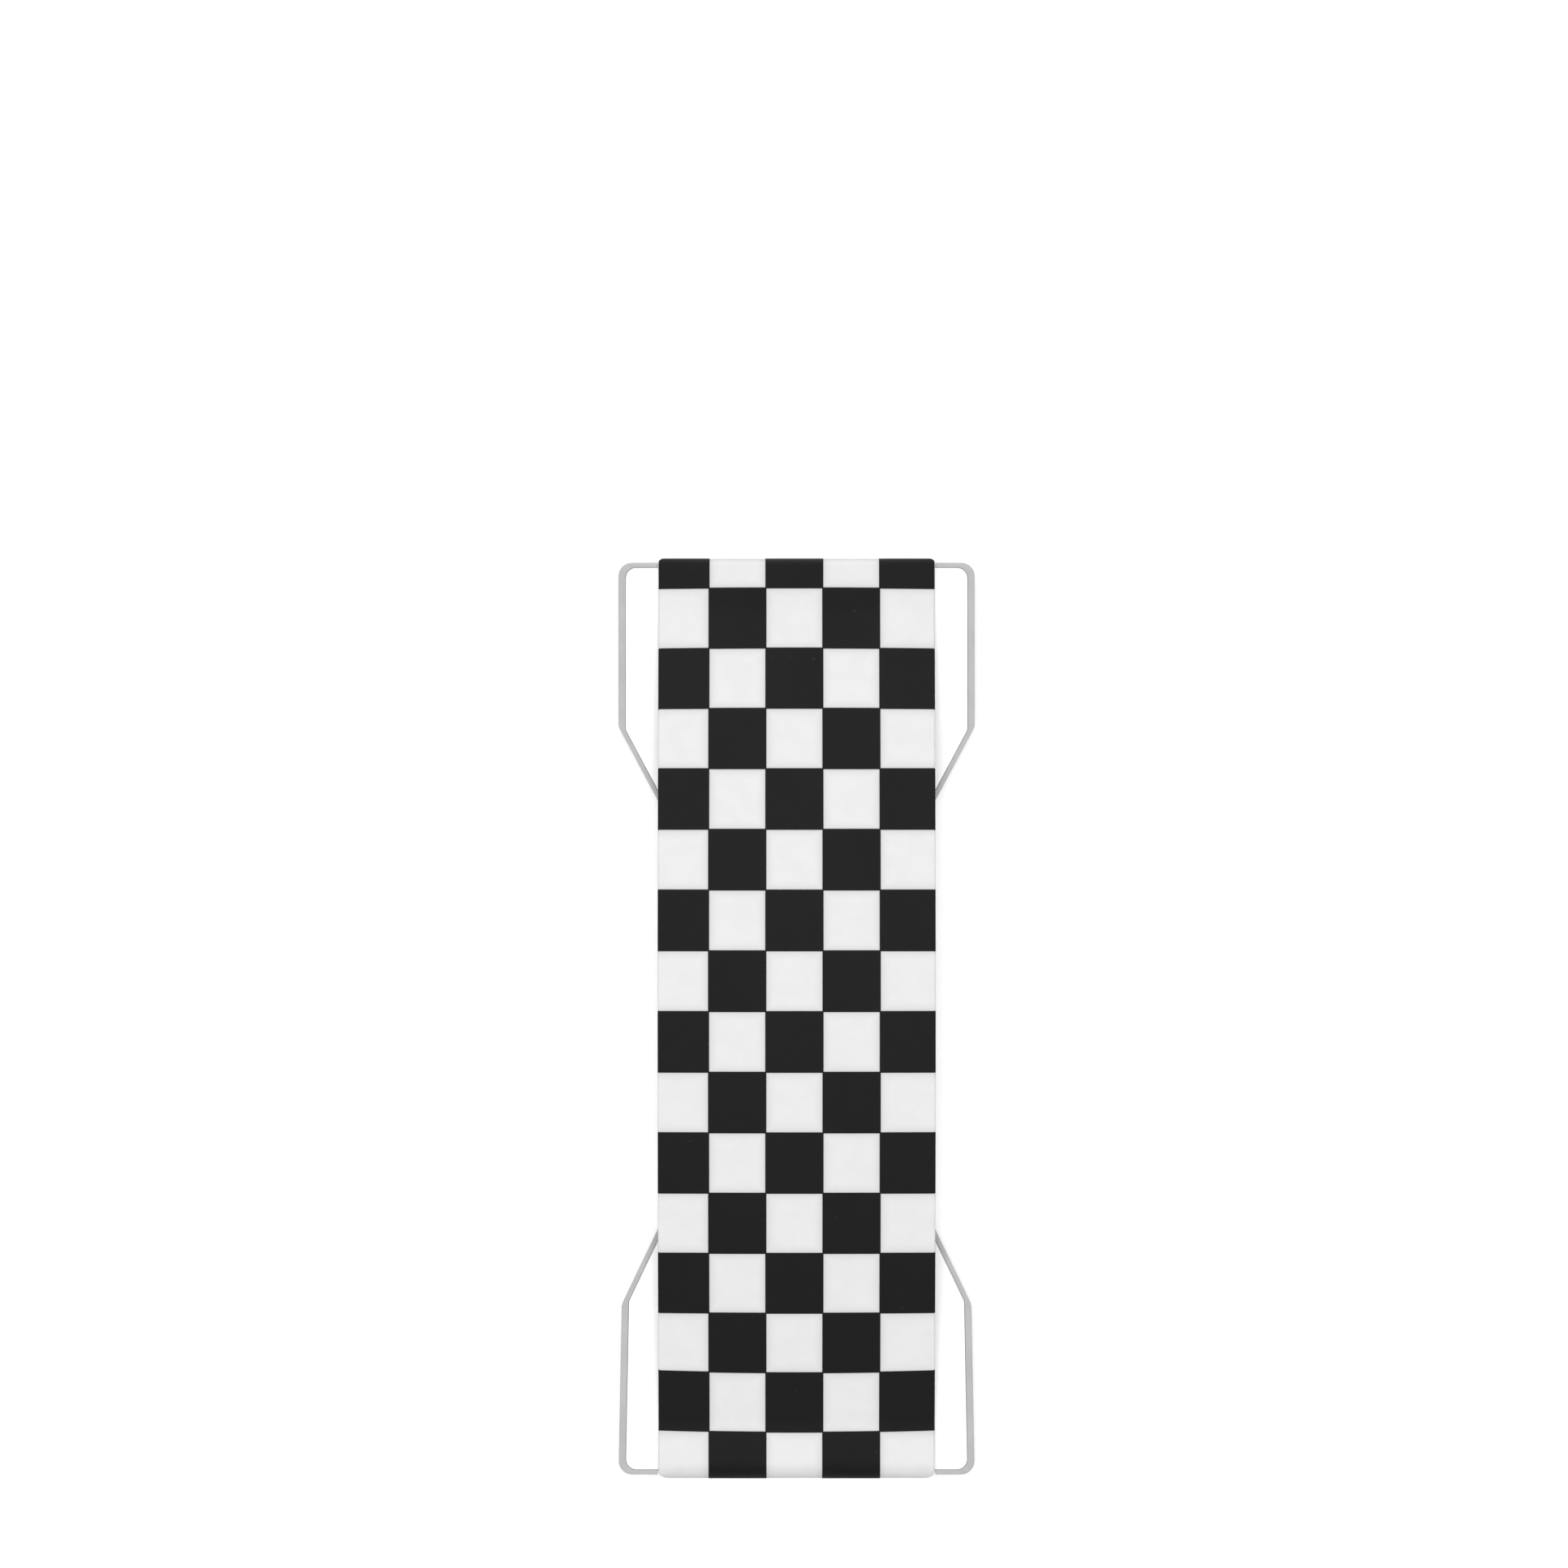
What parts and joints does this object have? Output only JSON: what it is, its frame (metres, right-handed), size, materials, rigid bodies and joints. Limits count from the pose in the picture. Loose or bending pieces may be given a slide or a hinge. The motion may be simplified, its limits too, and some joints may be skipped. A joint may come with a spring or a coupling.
{
  "type": "phone finger strap",
  "caption": "Soft finger strap with a checker print, arched over a rimmed dog-bone base plate and hooked round its ends, with an adhesive pad beneath to fix it to a flat back.",
  "frame": {"origin": "centre of the underside of the adhesive pad, on the surface that it sticks to", "axes": "+Y along the strap, towards the end with the short first row of squares; +Z up, away from the surface; +X across the strap, to the right with +Y up"},
  "size_m": [0.0392, 0.1016, 0.0116],
  "materials": {
    "adhesive_foam": "matt closed-cell foam",
    "base_plastic": "satin moulded",
    "liner_white": "matt",
    "strap_silicone": "satin silicone",
    "print_ink": "satin ink"
  },
  "bodies": {
    "root": {"adhesive_pad": "adhesive_foam", "base_plate": "base_plastic", "face_liner": "liner_white", "strap": "strap_silicone", "checker_print": "print_ink"}
  },
  "joints": []
}
